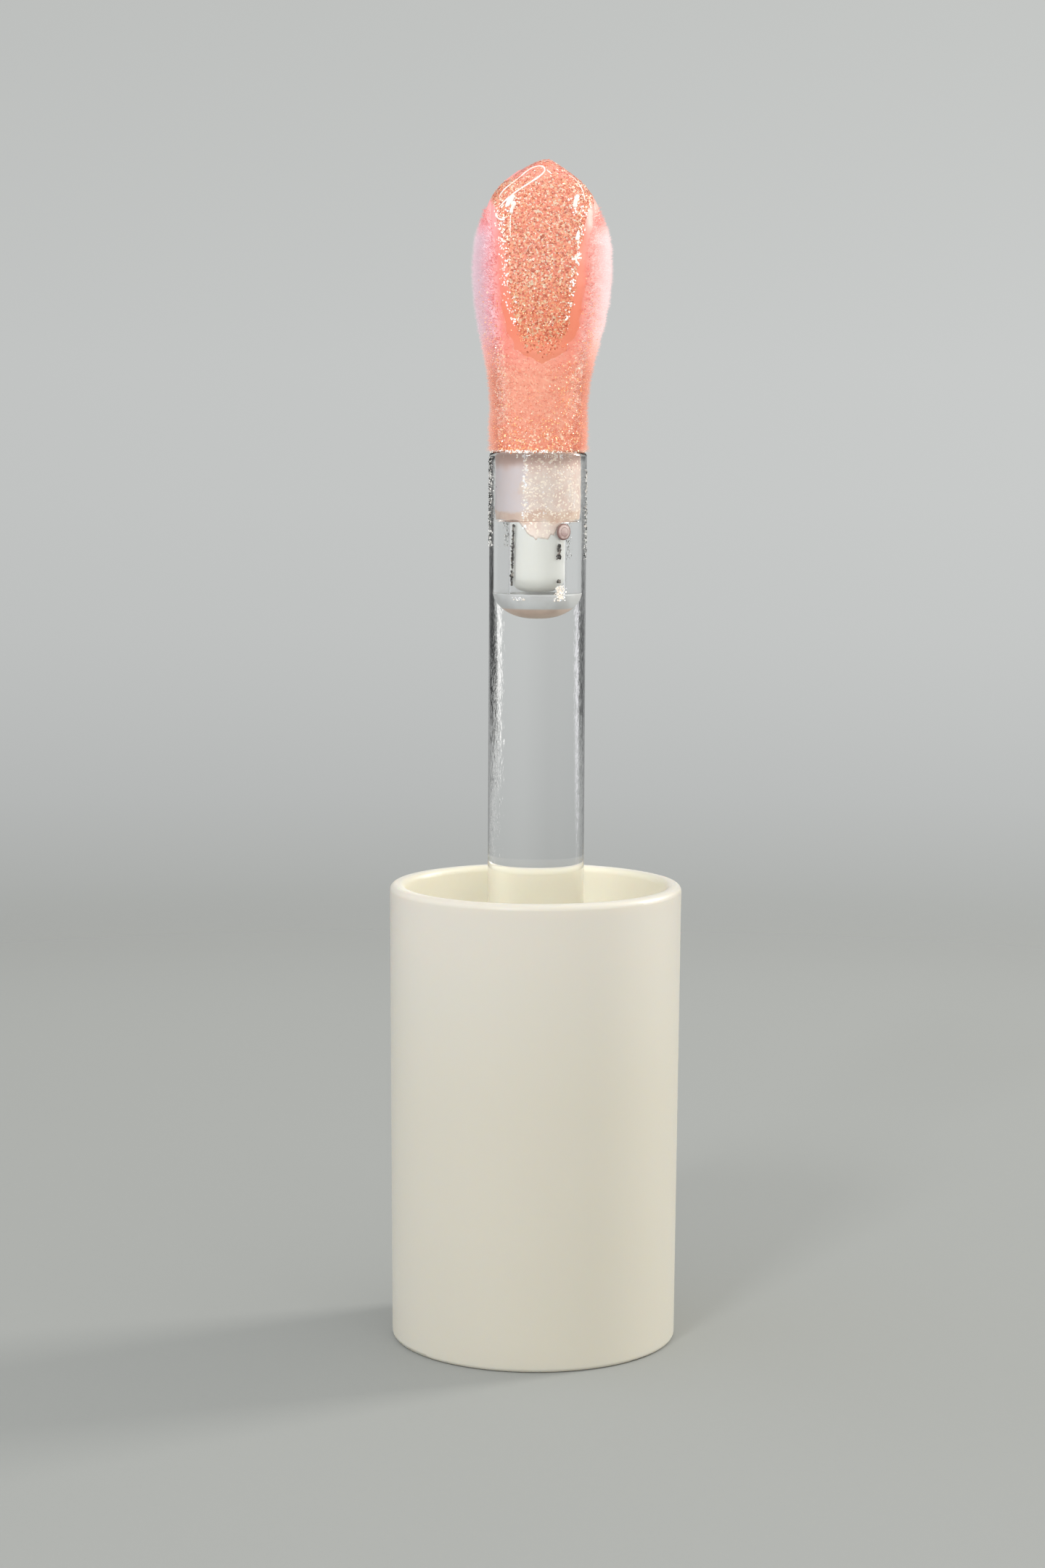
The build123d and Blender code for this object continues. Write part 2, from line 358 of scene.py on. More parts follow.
def build_world():
    """A grey studio. The camera sees its plain backdrop; the walls beside it draw the clear wand's edges."""
    world = bpy.data.worlds.new("studio")
    world.use_nodes = True
    bpy.context.scene.world = world
    n = Nodes(world.node_tree)
    x, y, z = n.add("ShaderNodeSeparateXYZ", {0: n.add("ShaderNodeTexCoord").outputs["Generated"]}).outputs
    azimuth = n.times(n.math("ARCTAN2", x, y), 180 / math.pi)
    elevation = n.times(n.math("ARCSINE", z), 180 / math.pi)
    side = n.math("ABSOLUTE", azimuth)

    # The backdrop darkens where the floor curves up into it, and is a little brighter to the right.
    span = BACKDROP_TOP - BACKDROP_BOTTOM
    height = n.add("ShaderNodeMapRange", {0: elevation, 1: BACKDROP_BOTTOM, 2: BACKDROP_TOP}).outputs[0]
    grey = n.ramp(height, *[((at - BACKDROP_BOTTOM) / span, *colour) for at, *colour in BACKDROP])
    slope = n.add("ShaderNodeMapRange", {0: azimuth, 1: -10.0, 2: 10.0, 3: 0.955, 4: 1.045}).outputs[0]
    backdrop = n.vector("SCALE", grey, slope)

    # What the wand bends into view: upright dark walls, each with a bright strip at its near edge. Slanting
    # noise tears their edges, like those of hung cloth. They end above the floor, and below eye level the
    # right strip is drawn out over its wall.
    slant = n.plus(z, n.times(azimuth, 0.0003))
    place = n.add("ShaderNodeCombineXYZ", {0: n.times(x, 0.12), 1: n.times(y, 0.12), 2: slant}).outputs[0]
    torn = n.minus(n.noise(350.0, 3.0, 0.8, place), 0.5)
    ragged = n.plus(azimuth, n.times(torn, 42.0))
    hem = n.plus(elevation, n.times(torn, 14.0))
    upright = n.times(n.step(hem, -9.0, -7.0), n.step(elevation, 38.0, 35.0))
    near_hem = n.step(hem, -4.6, -8.4)
    drawn_in = n.minus(ragged, n.times(near_hem, 34.0))
    strip_right = n.times(n.window(drawn_in, *STRIP_RIGHT, 1.2), upright)
    strip_right = n.times(strip_right, n.mix(near_hem, (1, 1, 1, 1), n.step(torn, -0.06, 0.03)))
    strip_left = n.times(n.window(ragged, *STRIP_LEFT, 1.2), n.step(hem, -8.0, -5.2))
    pushed_out = n.minus(ragged, n.step(hem, -3.5, -2.6, 0.0, 13.0))
    dark_right = n.times(n.window(pushed_out, *DARK_RIGHT, 1.5), n.step(hem, -1.8, -3.2, 0.7, 1.0))
    dark_left = n.times(n.window(ragged, *DARK_LEFT, 1.5), n.step(hem, -2.0, -3.6, 0.2, 0.85))
    dark = n.times(n.math("MAXIMUM", dark_left, dark_right), n.step(hem, -6.4, -4.9))
    front = n.times(n.step(side, 95.0, 130.0), n.window(elevation, -12.0, 62.0, 6.0))
    bent = n.mix(front, backdrop, (1.0, 0.99, 0.96, 1.0))
    bent = n.mix(dark, bent, (0.004, 0.004, 0.005, 1.0))
    bent = n.mix(strip_left, bent, (0.88, 0.87, 0.90, 1.0))
    bent = n.mix(strip_right, bent, (1.08, 1.07, 1.05, 1.0))

    # What glossy skins mirror: dark to both sides of the backdrop, and a mid grey room in front.
    mirrored = n.mix(n.window(side, 14.0, 52.0, 6.0), backdrop, (0.10, 0.10, 0.105, 1.0))
    mirrored = n.mix(front, mirrored, (0.60, 0.59, 0.57, 1.0))

    # What is mirrored inside the wand before it is bent out: a dark room in front.
    plain = n.mix(front, backdrop, (0.14, 0.14, 0.135, 1.0))

    # What falls on matt things, through the wand too: a soft room, bright in front and cool on the left.
    room = n.mix(n.step(side, 45.0, 125.0), (0.66, 0.665, 0.66, 1.0), (1.0, 0.99, 0.965, 1.0))
    room = n.mix(n.window(azimuth, -140.0, -45.0, 25.0), room, (1.25, 1.28, 1.34, 1.0))
    room = n.mix(n.window(azimuth, 45.0, 130.0, 25.0), room, (1.25, 1.24, 1.20, 1.0))
    room = n.mix(n.step(elevation, 45.0, 75.0), room, (0.62, 0.62, 0.61, 1.0))

    path = n.add("ShaderNodeLightPath").outputs
    glossy = n.math("MINIMUM", path["Glossy Depth"], 1.0)
    seen = n.mix(glossy, bent, mirrored)
    seen = n.mix(n.times(glossy, path["Is Transmission Ray"]), seen, plain)
    seen = n.mix(n.math("MINIMUM", path["Diffuse Depth"], 1.0), seen, room)
    colour = n.mix(path["Is Camera Ray"], seen, backdrop)
    background = n.add("ShaderNodeBackground", {"Color": colour, "Strength": 1.0})
    n.add("ShaderNodeOutputWorld", {"Surface": background.outputs[0]})


def soft_light(name, azimuth, elevation, distance, size, power, colour=(1.0, 1.0, 1.0)):
    """An area light that looks at the cap. Azimuth 0 is behind the object and 90 to its right."""
    light = bpy.data.lights.new(name, "AREA")
    light.shape = "RECTANGLE"
    light.size, light.size_y = size
    light.energy = power
    light.color = colour
    lamp = linked(name, light)
    turn, lift = math.radians(azimuth), math.radians(elevation)
    away = Vector((math.sin(turn) * math.cos(lift), math.cos(turn) * math.cos(lift), math.sin(lift)))
    lamp.location = away * distance + Vector((0, 0, 0.03))
    lamp.rotation_mode = "QUATERNION"
    lamp.rotation_quaternion = (-away).to_track_quat("-Z", "Y")
    lamp.visible_camera = False


def build_floor():
    """A round pale floor that fades into the backdrop at its edge."""
    steps, segments = 24, 96
    vertices, rings = [(0, 0, 0)], [[0]]
    for i in range(1, steps + 1):
        rings.append(range(len(vertices), len(vertices) + segments))
        for k in range(segments):
            turn = 2 * math.pi * k / segments
            reach = FLOOR_R * i / steps
            vertices.append((reach * math.cos(turn), reach * math.sin(turn), 0))
    floor = mesh_object("floor", vertices, joined(rings[::-1]))
    made, n = material("floor_paper")
    colour = n.mix(n.times(n.noise(14.0), 0.25), FLOOR_COLOUR, srgb(152, 154, 152))
    paper = n.principled(colour, 0.75, {"Normal": n.bump(n.noise(2200.0, 3.0), 0.00003, 0.4)})
    distance = n.add("ShaderNodeVectorMath", {0: n.place()}, operation="LENGTH").outputs["Value"]
    fade = n.step(distance, FLOOR_FADE_START * MM, FLOOR_R * 0.98 * MM)
    n.shade(paper, n.add("ShaderNodeBsdfTransparent"), fade)
    floor.data.materials.append(made)


build_world()
soft_light("back_right_softbox", 65, 27, 0.62, (0.14, 0.20), 1.9, (1.0, 0.97, 0.93))
soft_light("front_left_softbox", -156, 33, 0.70, (0.11, 0.16), 1.25, (0.98, 0.99, 1.0))
soft_light("front_right_strip", 148, 28, 0.60, (0.04, 0.11), 0.06)
soft_light("top_softbox", 178, 72, 0.65, (0.30, 0.25), 0.22)
build_floor()


# ---- rigid pieces

def moulded_plastic(name, colour, shade, roughness, depth, glow=None):
    """A satin moulding: light passes into it to a depth, and its surface has a faint orange peel.

    The glow is a paler colour from one height up to another, and an inner colour inside a wall's radius:
    painted light, standing in for light that comes through a thin wall.
    """
    made, n = material(name)
    colour = n.mix(n.step(n.noise(60.0, 2.0, 0.4), 0.25, 0.8), colour, shade)
    if glow is not None:
        # Painted light: the colour turns paler up towards the mouth and inside the wall.
        start, end, paler, wall, inner = glow
        x, y, z = n.axes()
        colour = n.mix(n.step(z, start * MM, end * MM), colour, paler)
        reach = n.math("POWER", n.plus(n.times(x, x), n.times(y, y)), 0.5)
        colour = n.mix(n.step(reach, (wall + 0.3) * MM, wall * MM), colour, inner)
    uneven = n.step(n.noise(9000.0), 0.3, 0.7, roughness - 0.04, roughness + 0.05)
    n.shade(n.principled(colour, uneven, {
        "IOR": 1.49,
        "Subsurface Weight": 0.35,
        "Subsurface Radius": (1.0, 0.75, 0.45),
        "Subsurface Scale": depth * MM,
        "Normal": n.bump(n.noise(1400.0), 0.00002, 0.35),
    }))
    return made


# Painted light: the outer cap is paler near its mouth and inside it, standing in for light that comes through
# the wall above the inner cap.
painted_light_mouth = (high("inner_cap")[2] - 10.0, high("outer_cap")[2], srgb(216, 212, 201))
painted_light_inside = (high("inner_cap")[0] + 0.1, srgb(222, 218, 200))
cream = moulded_plastic(
    "cream_plastic", srgb(213, 208, 194), srgb(211, 206, 191), 0.36, 1.2, painted_light_mouth + painted_light_inside
)
natural = moulded_plastic("natural_plastic", srgb(250, 246, 232), srgb(248, 242, 224), 0.45, 1.0)
foam = moulded_plastic("liner_foam", srgb(240, 239, 234), srgb(231, 229, 222), 0.75, 0.6)
for node, made, slot in (
    ("outer_cap", cream, "cap_plastic"),
    ("inner_cap", natural, "insert_plastic"),
    ("seal_liner", foam, "liner_foam"),
):
    finish_with(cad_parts[node], made, slot)


# ---- clear wand

GLASS_IOR = 1.53
STEM_R = 1.84
FLOOR_ROUND = 1.75
# Gloss fills the gap round the stem down to the contact height, and its meniscus hangs just below that.
CONTACT_Z = 56.56
MENISCUS_Z = 56.3


def clear_plastic():
    """Polished clear plastic. Lamps shine through it, as the path tracer can't bend their light quickly."""
    made, n = material("clear_plastic")
    glass = n.principled((0.985, 0.99, 0.99, 1), 0.0, {
        "IOR": GLASS_IOR,
        "Transmission Weight": 1.0,
        "Normal": n.bump(n.noise(420.0), 0.00001, 0.12),
    })
    clear = n.add("ShaderNodeBsdfTransparent", {"Color": (0.93, 0.94, 0.94, 1)})
    n.shade(glass, clear, n.add("ShaderNodeLightPath").outputs["Is Shadow Ray"])
    return made


def build_wand():
    """The rod with its blind bore, which gloss closes round the stem above the meniscus."""
    chamfer, edge = 0.4, 0.3
    groove_z, groove_r = WAND_BOTTOM + 3.0, 0.32
    profile = [(0, WAND_BOTTOM), (WAND_R - chamfer, WAND_BOTTOM), (WAND_R, WAND_BOTTOM + chamfer)]
    profile += arc((WAND_R, groove_z), groove_r, 270, 90, 8)
    profile += [(WAND_R, z) for z in np.linspace(groove_z + 2, WAND_TOP - edge - 0.5, 24)]
    profile += arc((WAND_R - edge, WAND_TOP - edge), edge, 0, 90, 8)
    profile += [(STEM_R - 0.02, WAND_TOP), (STEM_R - 0.02, CONTACT_Z)]
    profile += arc((STEM_R - 0.02, MENISCUS_Z), BORE_R - STEM_R + 0.02, 75, 0, 6)
    profile += [(BORE_R, z) for z in np.linspace(MENISCUS_Z - 0.3, BORE_FLOOR + FLOOR_ROUND + 0.3, 10)]
    profile += arc((BORE_R - FLOOR_ROUND, BORE_FLOOR + FLOOR_ROUND), FLOOR_ROUND, 0, -90, 24)
    profile += [(0.2, BORE_FLOOR), (0, BORE_FLOOR)]
    rod = lathe("wand_clear_rod", profile, 192)
    finish_with(rod, clear_plastic(), "clear_plastic")
    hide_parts("wand")
    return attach(rod, "cap_and_wand")


def build_plug():
    """The white stem of the applicator, its pin rounded at the lower end."""
    profile = [(0, PIN_END), (0.4, PIN_END)]
    profile += arc((STEM_R - 1.05, PIN_END + 1.05), 1.05, -90, 0, 14)
    profile += [(STEM_R, z) for z in np.linspace(PIN_END + 1.4, WAND_TOP - 0.05, 14)]
    profile += [(0, WAND_TOP - 0.05)]
    plug = lathe("applicator_plug", profile, 128)
    made, n = material("white_elastomer")
    colour = n.clouds(n.noise(300.0), 0.3, 0.7, (216, 217, 213), (211, 211, 205))
    n.shade(n.principled(colour, 0.5, {
        "Subsurface Weight": 0.4,
        "Subsurface Radius": (1.0, 0.95, 0.85),
        "Subsurface Scale": 0.5 * MM,
        "Normal": n.bump(n.noise(2500.0), 0.00001, 0.3),
    }))
    finish_with(plug, made, "applicator_elastomer")
    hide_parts("applicator_stem")
    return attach(plug, "cap_and_wand")


def socket_gloss_material():
    """Gloss squeezed thin between stem and bore: lilac-grey where clean, beige and pink where it is thick."""
    made, n = material("socket_gloss")
    x, _, z = n.axes()
    blur = n.times(n.minus(n.noise(900.0, 3.0), 0.5), 0.0016)
    cloud = n.noise(1300.0, 3.0, 0.6)
    thick = n.clouds(cloud, 0.35, 0.68, (230, 215, 204), (224, 200, 188))
    clean = n.clouds(cloud, 0.3, 0.7, (221, 212, 214), (223, 211, 210))
    colour = n.mix(n.step(n.plus(x, blur), -0.0010, -0.0006), clean, thick)
    wavy = n.plus(z, n.times(blur, 0.5))
    top_band = n.step(wavy, (WAND_TOP - 1.25) * MM, (WAND_TOP - 0.65) * MM)
    colour = n.mix(n.times(top_band, 0.85), colour, srgb(214, 184, 172))
    low_band = n.window(wavy, (CONTACT_Z - 0.2) * MM, (CONTACT_Z + 0.5) * MM, 0.00012)
    tan = n.clouds(cloud, 0.4, 0.6, (224, 196, 172), (214, 180, 156))
    colour = n.mix(n.times(low_band, 0.7), colour, tan)
    tongue = n.step(wavy, (CONTACT_Z - 0.9) * MM, (CONTACT_Z - 0.3) * MM, 0.75, 0.0)
    colour = n.mix(tongue, colour, srgb(240, 224, 212))
    pick = n.cells(9000.0)[1]
    glint = n.times(n.step(pick, 0.84, 0.9), n.step(x, -0.0010, -0.0005))
    colour = n.mix(glint, colour, srgb(252, 240, 224))
    n.shade(n.principled(colour, 0.45, {"Normal": n.bump(cloud, 0.00004, 0.5)}))
    return made


def build_socket_gloss(made):
    """A thin sleeve of gloss round the stem, with a ragged lower edge and one tongue down its front."""
    segments, steps = 192, 30
    turns = np.linspace(-180, 180, segments, endpoint=False)
    ragged = np.array([noise.noise(Vector((t / 26.0, 3.0, 0.0))) for t in turns])
    tongue = np.exp(-(((turns - 6) / 34) ** 4))
    frayed = np.array([noise.noise(Vector((t / 7.0, 8.0, 0.0))) for t in turns])
    bottom = CONTACT_Z - 0.12 + 0.12 * ragged - (1.15 + 0.4 * ragged + 0.25 * frayed) * tongue
    top = WAND_TOP - 0.08
    vertices = []
    for outer in (True, False):
        for i in range(steps + 1):
            t = i / steps
            for k, turn in enumerate(np.radians(turns)):
                z = bottom[k] + (top - bottom[k]) * t
                swell = 0.055 + 0.02 * noise.noise(Vector((turn * 2.2, z * 1.3, 9.0)))
                reach = STEM_R + (swell * min(1, 6 * t) if outer else -0.05)
                vertices.append((reach * math.sin(turn), -reach * math.cos(turn), z))
    rings = [range(first, first + segments) for first in range(0, len(vertices), segments)]
    outside, inside = rings[:steps + 1], rings[steps + 1:]
    sleeve = mesh_object("socket_gloss", vertices, joined(outside + inside[::-1], closed=True))
    face_outwards(sleeve)
    finish_with(sleeve, made, "gloss")
    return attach(sleeve, "cap_and_wand")


def build_gloss_pool():
    """Tan gloss settled in the round bottom of the bore, and the thin pale film it left on the wall."""
    # The pool reaches past the bore's wall by the overlap, so no air is left between them.
    depth, overlap, film = 0.62, 0.03, 0.09
    centre = (BORE_R - FLOOR_ROUND, BORE_FLOOR + FLOOR_ROUND)
    rise = math.degrees(math.acos(1 - depth / FLOOR_ROUND))
    profile = [(0, BORE_FLOOR - overlap), (0.2, BORE_FLOOR - overlap)]
    profile += arc(centre, FLOOR_ROUND + overlap, -90, -4, 30)
    profile += arc(centre, FLOOR_ROUND - film, -4, -90 + rise, 20)
    profile += [(0, BORE_FLOOR + 0.95 * depth)]
    pool = lathe("gloss_pool", profile, 96)
    made, n = material("pooled_gloss")
    cloud = n.noise(700.0, 3.0)
    colour = n.clouds(cloud, 0.3, 0.7, (224, 202, 186), (206, 182, 166))
    pale = n.clouds(cloud, 0.35, 0.75, (196, 197, 196), (208, 211, 211))
    line = (BORE_FLOOR + depth) * MM
    colour = n.mix(n.step(n.axes()["Z"], line - 0.00006, line + 0.00008), colour, pale)
    n.shade(n.principled(colour, 0.4, {"Normal": n.bump(cloud, 0.00005, 0.4)}))
    finish_with(pool, made, "gloss")
    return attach(pool, "cap_and_wand")


def build_bubble():
    """One flat bubble caught in the gloss at the meniscus, pressed against the bore's wall."""
    turn, z = math.radians(46.5), MENISCUS_Z - 0.58
    profile = [(0, -1)] + arc((0, 0), 1, -84, 84, 22) + [(0, 1)]
    bubble = lathe("gloss_bubble", profile, 40)
    points, _ = points_of(bubble)
    outward = np.array([math.sin(turn), -math.cos(turn), 0])
    along = np.array([math.cos(turn), math.sin(turn), 0])
    centre = (BORE_R + 0.04) * outward + np.array([0, 0, z])
    spread = 0.5 * points[:, :1] * along + 0.13 * points[:, 1:2] * outward
    move_points(bubble, centre + spread + points[:, 2:] * (0, 0, 0.56))
    face_outwards(bubble)
    store(bubble, "rim", np.hypot(points[:, 0], points[:, 2]))
    made, n = material("bubble_gloss")
    rim = n.attribute("rim")
    skin = n.clouds(n.noise(2600.0), 0.35, 0.65, (216, 196, 190), (190, 160, 156))
    # Painted shade: the dark ring and the darker rim stand in for the dark outline at the bubble's edge.
    colour = n.mix(n.window(rim, 0.5, 0.56, 0.05), skin, srgb(150, 118, 112))
    colour = n.mix(n.step(rim, 0.76, 0.9), colour, srgb(138, 104, 98))
    n.shade(n.principled(colour, 0.2, {}))
    finish_with(bubble, made, "gloss")
    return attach(bubble, "cap_and_wand")


build_wand()
build_plug()
build_socket_gloss(socket_gloss_material())
build_gloss_pool()
build_bubble()


# ---- applicator head: wet flock, gloss and glitter

# How far the head leans right at its top, and which nodes it replaces.
LEAN = 0.2
HEAD_NODES = ("flex_neck", "neck_flock", "paddle_core", "paddle_flock")
# How far the matted flock lies in from the fibres' ends, on the broad faces and at the sides.
FLOCK_INSET = 0.2
FRINGE_INSET = 0.27
# The gloss patch: its middle, its lowest point, and how deep it dives outside its edge.
GLOSS_CENTRE_X = 0.2
GLOSS_BOTTOM = HEAD_TOP - 13.3
GLOSS_HIDDEN = -0.36
# Mesh sizes, sample counts, and the sizes of one fibre and one flake.
FLOCK_VOXEL = 0.115
GLOSS_VOXEL = 0.09
FIBRE_SAMPLES = 150000
FIBRES_AT_MOST = 49000
FIBRE_R = 0.017
FIBRE_ROOT = 0.03
FLAKE_HALF_THICKNESS = 0.006
FILM_SAMPLES = 15000
FLOCK_SAMPLES = 19000
random = np.random.default_rng(SEED)


def lean_at(z):
    """How far the head leans to the right at each height, as it was drawn from its bottle."""
    return LEAN * smoothstep(WAND_TOP + 1.0, WAND_TOP + 13.0, z)


def head_copy(name, voxel):
    """One closed, evenly meshed copy of the CAD nodes that make up the head, leaning a little."""
    shape = bmesh.new()
    for node in HEAD_NODES:
        shape.from_mesh(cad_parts[node].data)
    bmesh.ops.scale(shape, vec=(1 / MM, 1 / MM, 1 / MM), verts=shape.verts)
    mesh = bpy.data.meshes.new("head_seed")
    shape.to_mesh(mesh)
    shape.free()
    seed = linked("head_seed", mesh)
    remesh = seed.modifiers.new("remesh", "REMESH")
    remesh.mode = "VOXEL"
    remesh.voxel_size = voxel
    relax = seed.modifiers.new("relax", "SMOOTH")
    relax.factor = 0.5
    relax.iterations = 14
    result = bpy.data.meshes.new_from_object(seed.evaluated_get(bpy.context.evaluated_depsgraph_get()))
    points = np.array([v.co[:] for v in result.vertices])
    points[:, 0] += lean_at(points[:, 2])
    faces = [tuple(face.vertices) for face in result.polygons]
    bpy.data.objects.remove(seed)
    bpy.data.meshes.remove(result)
    return mesh_object(name, points, faces)


def sideways(points, outline):
    """How far across the head each point is, from -1 at its left edge to 1 at its right."""
    heights = np.arange(WAND_TOP, HEAD_TOP + 0.3, 0.3)
    reach = np.abs(outline[:, 0] - lean_at(outline[:, 2]))
    widths = [reach[np.abs(outline[:, 2] - h) < 0.2].max(initial=0.3) for h in heights]
    return (points[:, 0] - lean_at(points[:, 2])) / np.interp(points[:, 2], heights, widths)


def gloss_half_width(z):
    """Half the width of the gloss patch: a tongue that widens upwards and wraps the whole tip."""
    up = z - GLOSS_BOTTOM
    heights = [-2.0, 0.0, 0.6, 2.0, 4.0, 6.0, 8.1, 10.1, 11.0, 11.8, 13.5]
    widths = [-2.6, 0.0, 1.1, 1.75, 2.15, 2.45, 2.72, 3.25, 3.8, 5.2, 9.0]
    return np.interp(up, heights, widths)


def gloss_inside(points):
    """How far inside the gloss patch's edge each point is, in millimetres across the paddle."""
    ripple = 0.16 * noise_at(points * (0.4, 0.4, 1), 1.1, 3.0)
    return gloss_half_width(points[:, 2]) + ripple - np.abs(points[:, 0] - GLOSS_CENTRE_X)


def up_from_rod(start, end, z):
    """A smooth ramp over these heights above the rod's end."""
    return smoothstep(WAND_TOP + start, WAND_TOP + end, z)


def up_to_tip(start, end, z):
    """A smooth ramp over these depths below the head's top."""
    return smoothstep(HEAD_TOP - start, HEAD_TOP - end, z)


def neck_part(z):
    """1 on the neck and 0 up on the paddle."""
    return 1 - up_from_rod(4.5, 8.5, z)


def soak_at(points, side):
    """1 where the flock is full of gloss and 0 where its fibres stay pale."""
    z = points[:, 2]
    paddle = 1 - smoothstep(0.56, 0.93, side)
    neck = 0.7 - 0.4 * smoothstep(0.7, 1.0, side)
    tip = 1 - 0.4 * side
    value = paddle + (neck - paddle) * neck_part(z)
    value = value + (tip - value) * up_to_tip(5.4, 3.3, z)
    return np.clip(value + 0.06 * noise_at(points, 0.9, 7.0), 0, 1)


def wet_colour(n):
    """The colour of soaked flock, from pale pink fibre to full coral gloss, and salmon on the neck."""
    soak = n.attribute("soak")
    warm = n.ramp(
        soak,
        (0.0, 255, 232, 232),
        (0.3, 255, 212, 206),
        (0.6, 252, 176, 164),
        (0.85, 249, 157, 143),
        (1.0, 245, 148, 126),
    )
    # Painted light: this cooler, lilac ramp is used on the left side and stands in for cool light falling on
    # that side.
    cool = n.ramp(
        soak,
        (0.0, 234, 213, 220),
        (0.3, 243, 190, 198),
        (0.6, 250, 168, 166),
        (0.85, 247, 147, 140),
        (1.0, 245, 146, 126),
    )
    paddle = n.mix(n.attribute("lilac"), warm, cool)
    neck = n.ramp(
        soak,
        (0.0, 252, 214, 196),
        (0.3, 250, 202, 182),
        (0.55, 240, 172, 148),
        (1.0, 236, 148, 122),
    )
    return n.mix(n.attribute("neck"), paddle, neck)


def tilted_normal(n, random_colour, amount):
    """The surface's normal, turned by up to an amount, in a way that is constant within each flake's cell."""
    centred = n.vector("SUBTRACT", random_colour, (0.5, 0.5, 0.5))
    flat = n.add("ShaderNodeNewGeometry").outputs["Normal"]
    return n.vector("NORMALIZE", n.vector("ADD", flat, n.vector("SCALE", centred, amount)))


def soaked_flock():
    """Flock matted down by gloss: soft, lit from within, with a few glitter flakes in it."""
    made, n = material("soaked_flock")
    pick = n.cells(8500.0)[1]
    sparkle = n.times(n.step(pick, 0.80, 0.84), n.attribute("glitter"))
    dull = n.times(n.step(pick, 0.16, 0.12), n.attribute("glitter"))
    base = n.mix(n.times(dull, 0.6), wet_colour(n), srgb(226, 140, 116))
    colour = n.mix(sparkle, base, srgb(255, 226, 196))
    softer = n.add("ShaderNodeGamma", {"Color": colour, "Gamma": 0.55}).outputs[0]
    n.shade(n.principled(n.mix(n.attribute("fringe"), colour, softer), 0.5, {
        "IOR": 1.46,
        "Specular IOR Level": 0.3,
        "Subsurface Weight": n.times(n.attribute("open"), 0.4),
        "Subsurface Radius": (1.0, 0.7, 0.65),
        "Subsurface Scale": 0.5 * MM,
        "Coat Weight": 0.08,
        "Coat Roughness": 0.3,
        "Normal": n.bump(n.noise(3800.0, 3.0, 0.6), 0.00004, 0.5),
    }))
    return made


def pale_fibre():
    """Nylon fibres, damp with gloss. Each is pale, with a faint painted glow standing in for light carried up
    from within the flock, strongest where the flock is dry.
    """
    made, n = material("flock_fibre")
    colour = n.add("ShaderNodeGamma", {"Color": wet_colour(n), "Gamma": 0.5}).outputs[0]
    # Painted light: an emission glow on the fibres, strongest where they are least soaked.
    painted_glow = n.step(n.attribute("soak"), 0.75, 0.1, 0.0, 0.17)
    painted_glow = n.times(painted_glow, n.step(n.attribute("lilac"), 0.0, 1.0, 0.95, 0.85))
    damp = n.principled(colour, 0.6, {
        "Specular IOR Level": 0.2,
        "Emission Color": colour,
        "Emission Strength": painted_glow,
    })
    n.shade(damp, n.add("ShaderNodeBsdfTranslucent", {"Color": colour}), 0.5)
    return made


def glitter_gloss():
    """Coral gel packed with gold and pearl flakes, under its own smooth wet skin."""
    made, n = material("glitter_gloss")
    hue, pick, _, chance = n.cells(9200.0)
    _, _, speck, small = n.cells(15500.0)
    coarse = n.ramp(
        pick,
        (0.0, 172, 78, 52),
        (0.25, 216, 112, 86),
        (0.55, 238, 142, 118),
        (0.8, 250, 188, 152),
        (0.93, 255, 240, 218),
    )
    fine = n.ramp(speck, (0.0, 206, 104, 74), (0.5, 238, 138, 108), (0.9, 252, 196, 156))
    density = n.attribute("glitter")
    coarse_here = n.step(n.minus(density, chance), -0.04, 0.06)
    fine_here = n.times(n.step(n.minus(density, small), -0.04, 0.06), 0.8)
    colour = n.mix(fine_here, wet_colour(n), fine)
    colour = n.mix(n.times(coarse_here, 0.85), colour, coarse)
    lower = n.step(n.axes()["Z"], (HEAD_TOP - 6.5) * MM, (HEAD_TOP - 10.5) * MM)
    colour = n.mix(lower, colour, (0.96, 0.83, 0.69, 1.0), "MULTIPLY")
    bright = n.times(n.step(pick, 0.6, 0.8), coarse_here)
    n.shade(n.principled(colour, 0.34, {
        "IOR": 1.46,
        "Metallic": n.times(bright, 0.3),
        "Subsurface Weight": n.times(n.step(density, 0.6, 1.0), 0.25),
        "Subsurface Radius": (1.0, 0.6, 0.5),
        "Subsurface Scale": 0.2 * MM,
        "Coat Weight": n.attribute("skin"),
        "Coat Roughness": 0.06,
        "Coat IOR": 1.46,
        "Normal": tilted_normal(n, hue, n.times(coarse_here, 0.7)),
    }))
    return made


def flake_metal(name, metallic, flash, *stops):
    """Single flakes of pearl-coated mica, each of its own hue. A flash stands for the lamps' glint off it."""
    made, n = material(name)
    colour = n.ramp(n.cells(5200.0)[1], *stops)
    shine = {"Metallic": metallic, "Emission Color": colour, "Emission Strength": flash}
    n.shade(n.principled(colour, 0.25, shine))
    return made


def tag_wetness(piece, points, outline):
    """Stores what the materials read of each point's wetness, and returns how full of glitter it is."""
    across = sideways(points, outline)
    side = np.abs(across)
    z = points[:, 2]
    store(piece, "soak", soak_at(points, side))
    # Painted light: the lilac tint on the left side, where cool light falls.
    store(piece, "lilac", smoothstep(0.1, 0.8, -across))
    store(piece, "neck", neck_part(z))
    neck = 0.25 + 0.75 * smoothstep(0.45, 0.95, side)
    neck = np.maximum(neck, 1 - up_from_rod(0.6, 2.2, z))
    return neck + (0.1 - neck) * up_from_rod(6, 8, z)


